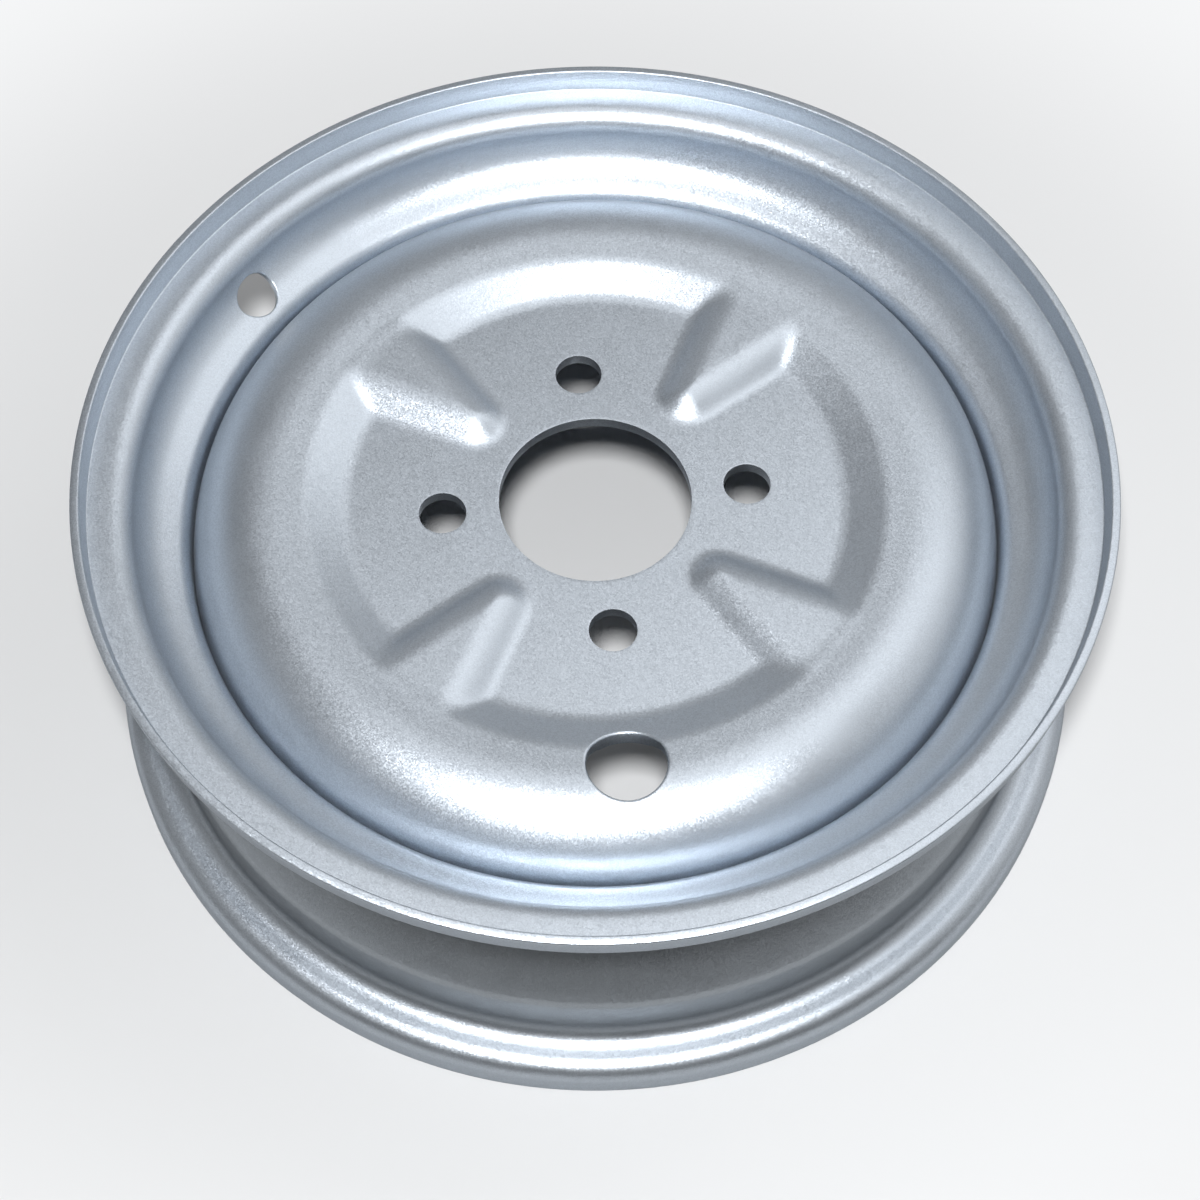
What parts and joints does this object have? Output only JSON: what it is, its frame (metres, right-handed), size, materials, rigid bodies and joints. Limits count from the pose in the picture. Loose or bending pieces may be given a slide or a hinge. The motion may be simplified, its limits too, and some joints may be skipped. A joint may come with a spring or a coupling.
{
  "type": "steel wheel rim",
  "caption": "Small pressed steel disc wheel: a drop-centre rim with upright flange lips and a crowned centre disc with recessed nut pads between raised ribs, painted silver.",
  "frame": {"origin": "on the wheel's axis, at the bottom edge of the inboard flange it lies on", "axes": "+Z along the wheel's axis out of the disc's face, +X towards one stud hole, the hand hole near -Y"},
  "size_m": [0.334, 0.334, 0.1195],
  "materials": {
    "silver_paint": "satin"
  },
  "bodies": {
    "root": {"rim_barrel": "silver_paint", "wheel_disc": "silver_paint", "weld_beads": "silver_paint"}
  },
  "joints": []
}
